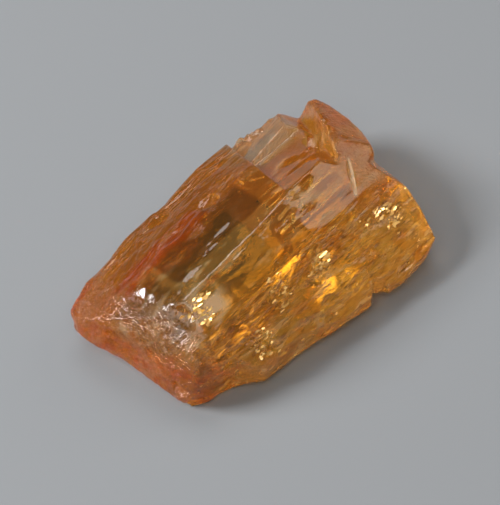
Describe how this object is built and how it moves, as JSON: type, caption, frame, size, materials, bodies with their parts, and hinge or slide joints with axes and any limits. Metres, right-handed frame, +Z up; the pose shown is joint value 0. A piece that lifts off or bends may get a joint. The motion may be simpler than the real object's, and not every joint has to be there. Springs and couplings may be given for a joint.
{
  "type": "topaz crystal",
  "caption": "Broken piece of a rough orange-gold topaz crystal with striated prism faces, see-through, lying on its side; shown as a mineral specimen.",
  "frame": {"origin": "middle of the bounding box's bottom, on the flat prism face the crystal lies on", "axes": "+X along the crystal's long (c) axis to the end with the low terrace and the nub, +Z up from the face it lies on, +Y to the side of the steep back wall"},
  "size_m": [0.0272, 0.0176, 0.0085],
  "materials": {
    "topaz": "clear orange-gold crystal, glossy prism faces with fine striae along the length, worn satin ends"
  },
  "bodies": {
    "root": {"topaz_crystal": "topaz"}
  },
  "joints": []
}
